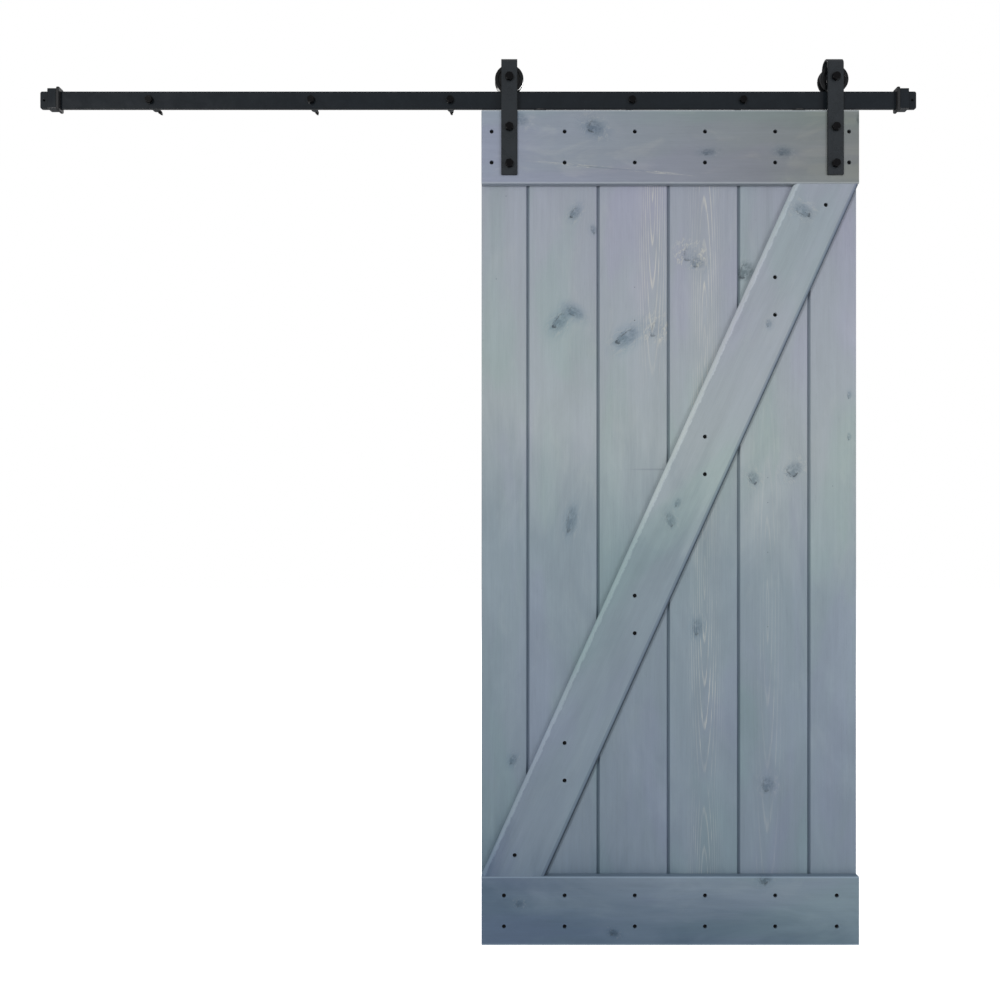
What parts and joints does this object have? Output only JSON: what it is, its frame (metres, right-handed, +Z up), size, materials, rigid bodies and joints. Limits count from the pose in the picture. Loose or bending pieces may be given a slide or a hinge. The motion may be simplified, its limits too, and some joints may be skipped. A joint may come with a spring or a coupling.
{
  "type": "sliding barn door with track",
  "caption": "Sliding plank door with a diagonal brace, hung by strap hangers and grooved wheels from a wall-mounted flat steel track with end stops.",
  "frame": {"origin": "where the axis of the third lag screw from the left meets the wall plane, at the track's mid height", "axes": "+X along the track, to the right for someone facing the door; +Y into the wall; +Z up"},
  "size_m": [2.25, 0.103, 2.2686],
  "materials": {
    "track_steel": "satin black powder coat, worn a little at the edges",
    "stop_rubber": "moulded black rubber, dull",
    "black_screws": "black oxide screws, slightly shiny",
    "plank_wood": "blue-grey stained knotty pine planks with pale streaks along the grain, darker towards the foot",
    "trim_wood": "blue-grey stained pine boards, satin, the top board greener to the right",
    "disc_nylon": "black nylon, matt",
    "hanger_steel": "satin black powder coat",
    "black_bolts": "black oxide bolts, semi-gloss",
    "zinc": "zinc plated, satin",
    "wheel_steel": "gloss black wheels",
    "bearing_steel": "ground bearing steel",
    "cage_brass": "pressed brass, satin",
    "shield_steel": "dark phosphated shields"
  },
  "bodies": {
    "track": {"track_rail": "track_steel", "lag_screws": "black_screws", "lag_washers": "track_steel", "wall_spacers": "track_steel", "left_stop_block": "track_steel", "left_stop_bumper": "stop_rubber", "left_stop_set_screws": "black_screws", "right_stop_block": "track_steel", "right_stop_bumper": "stop_rubber", "right_stop_set_screws": "black_screws"},
    "door": {"plank_1": "plank_wood", "plank_2": "plank_wood", "plank_3": "plank_wood", "plank_4": "plank_wood", "plank_5": "plank_wood", "plank_6": "plank_wood", "top_board": "trim_wood", "bottom_board": "trim_wood", "diagonal_brace": "trim_wood", "top_board_screws": "black_screws", "bottom_board_screws": "black_screws", "brace_screws": "black_screws", "anti_jump_discs": "disc_nylon", "anti_jump_screws": "black_screws", "left_hanger_strap": "hanger_steel", "left_strap_bolts": "black_bolts", "left_strap_washers": "zinc", "left_strap_nuts": "zinc", "left_axle_bolt": "black_bolts", "left_axle_washer": "black_bolts", "left_axle_nut": "black_bolts", "left_axle_bushes": "zinc", "left_bearing_inner_ring": "bearing_steel", "right_hanger_strap": "hanger_steel", "right_strap_bolts": "black_bolts", "right_strap_washers": "zinc", "right_strap_nuts": "zinc", "right_axle_bolt": "black_bolts", "right_axle_washer": "black_bolts", "right_axle_nut": "black_bolts", "right_axle_bushes": "zinc", "right_bearing_inner_ring": "bearing_steel"},
    "left_wheel": {"left_wheel_rim": "wheel_steel", "left_retaining_ring": "zinc", "left_bearing_outer_ring": "bearing_steel", "left_bearing_shields": "shield_steel"},
    "left_ball_set": {"left_bearing_cage": "cage_brass", "left_bearing_balls": "bearing_steel"},
    "right_wheel": {"right_wheel_rim": "wheel_steel", "right_retaining_ring": "zinc", "right_bearing_outer_ring": "bearing_steel", "right_bearing_shields": "shield_steel"},
    "right_ball_set": {"right_bearing_cage": "cage_brass", "right_bearing_balls": "bearing_steel"}
  },
  "joints": [
    {"name": "door_slide", "type": "slide", "parent": "track", "child": "door", "axis": [1, 0, 0], "range_m": [-1.1215, 0.1305]},
    {"name": "left_wheel_spin", "type": "hinge", "parent": "door", "child": "left_wheel", "pos_m": [0.1515, -0.038, 0.0515], "axis": [0, 1, 0], "continuous": true},
    {"name": "left_ball_orbit", "type": "hinge", "parent": "door", "child": "left_ball_set", "pos_m": [0.1515, -0.038, 0.0515], "axis": [0, 1, 0], "continuous": true},
    {"name": "right_wheel_spin", "type": "hinge", "parent": "door", "child": "right_wheel", "pos_m": [0.9837, -0.038, 0.0515], "axis": [0, 1, 0], "continuous": true},
    {"name": "right_ball_orbit", "type": "hinge", "parent": "door", "child": "right_ball_set", "pos_m": [0.9837, -0.038, 0.0515], "axis": [0, 1, 0], "continuous": true}
  ],
  "couplings": [
    {"joint": "left_wheel_spin", "follows": "door_slide", "rad_per_m": 34.602},
    {"joint": "left_ball_orbit", "follows": "door_slide", "rad_per_m": 21.941},
    {"joint": "right_wheel_spin", "follows": "door_slide", "rad_per_m": 34.602},
    {"joint": "right_ball_orbit", "follows": "door_slide", "rad_per_m": 21.941}
  ]
}
